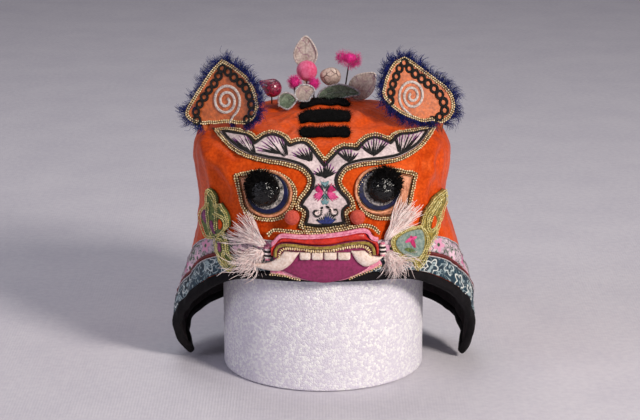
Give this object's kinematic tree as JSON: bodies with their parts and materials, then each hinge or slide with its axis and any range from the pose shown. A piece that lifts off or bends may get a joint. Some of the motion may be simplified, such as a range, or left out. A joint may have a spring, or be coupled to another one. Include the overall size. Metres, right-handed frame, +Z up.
{
  "type": "tiger hat on foam block",
  "caption": "Padded satin cap for a small child with a stitched tiger face, upright ears, hanging ear flaps and cloth ornaments, set on a round foam block.",
  "frame": {"origin": "centre of the foam block's flat foot", "axes": "+Z up, the tiger's face looks towards -Y, +X is the viewer's right"},
  "size_m": [0.2065, 0.1655, 0.2213],
  "materials": {
    "berry_red": "glossy dark red silk",
    "black_binding": "black bias binding",
    "black_glass": "glossy black glass dome",
    "black_lash": "black thread fringe",
    "black_plush": "black plush",
    "blue_brocade": "blue-green brocade with a pale flower pattern",
    "blue_fringe": "blue cut thread fringe",
    "dark_lining": "dark cotton",
    "eye_cloth": "dark stitched cloth with gold and silver rings",
    "flower_ribbon": "pink, white and green flowered ribbon",
    "foam": "white bead foam",
    "gold_braid": "gold metallic braid",
    "gold_cord": "couched gold cord over green and purple stitching",
    "green_leaf": "green silk with a silver edge",
    "magenta_cloth": "magenta cotton",
    "magenta_yarn": "fuzzy magenta yarn",
    "olive_braid": "olive yellow braid",
    "orange_satin": "orange satin",
    "pale_leaf": "pale translucent silk",
    "pale_petal": "pale stiffened silk",
    "pink_satin": "pink satin",
    "pink_silk": "glossy pink silk",
    "red_felt": "red felt",
    "red_piping": "dark red cord",
    "red_satin": "red satin",
    "tie_thread": "black and white thread",
    "tooth_cloth": "white cotton",
    "white_satin": "white satin with black and purple stitching",
    "white_thread": "white and pale pink thread",
    "wire": "thin steel wire"
  },
  "bodies": {
    "root": {"band_piping": "red_piping", "brocade_band": "blue_brocade", "brow_braid": "gold_braid", "brow_nose": "white_satin", "bud": "berry_red", "cheek_ball_left": "red_felt", "cheek_ball_right": "red_felt", "cheek_ornament_left": "gold_cord", "cheek_ornament_right": "gold_cord", "crown": "orange_satin", "curled_leaf": "green_leaf", "white_petal": "pale_leaf", "ear_braid_left": "gold_braid", "ear_braid_right": "gold_braid", "ear_fringe_left": "blue_fringe", "ear_fringe_right": "blue_fringe", "ear_panel_left": "orange_satin", "ear_panel_right": "orange_satin", "eye_braid_left": "gold_braid", "eye_braid_right": "gold_braid", "eye_lashes_left": "black_lash", "eye_lashes_right": "black_lash", "eye_panel_left": "eye_cloth", "eye_panel_right": "eye_cloth", "eyeball_left": "black_glass", "eyeball_right": "black_glass", "flower_band": "flower_ribbon", "foam_block": "foam", "forehead_stripe_1": "black_plush", "forehead_stripe_2": "black_plush", "forehead_stripe_3": "black_plush", "green_leaf": "green_leaf", "grey_leaf": "pale_leaf", "hem_binding": "black_binding", "lining": "dark_lining", "lip_band": "olive_braid", "lip_braid": "gold_braid", "lip_piping": "pink_satin", "lower_lip": "pink_satin", "mouth_panel": "magenta_cloth", "pale_petal": "pale_petal", "pink_ball": "pink_silk", "pompom_left": "magenta_yarn", "pompom_right": "magenta_yarn", "standing_leaf": "pale_leaf", "tooth_1": "tooth_cloth", "tooth_2": "tooth_cloth", "tooth_3": "tooth_cloth", "tooth_4": "tooth_cloth", "tusk_left": "tooth_cloth", "tusk_right": "tooth_cloth", "upper_lip": "red_satin", "whisker_left_lower": "white_thread", "whisker_left_upper": "white_thread", "whisker_right_lower": "white_thread", "whisker_right_upper": "white_thread", "whisker_tie_left": "tie_thread", "whisker_tie_right": "tie_thread", "yarn_ball": "magenta_yarn", "yarn_wire": "wire"}
  },
  "joints": []
}
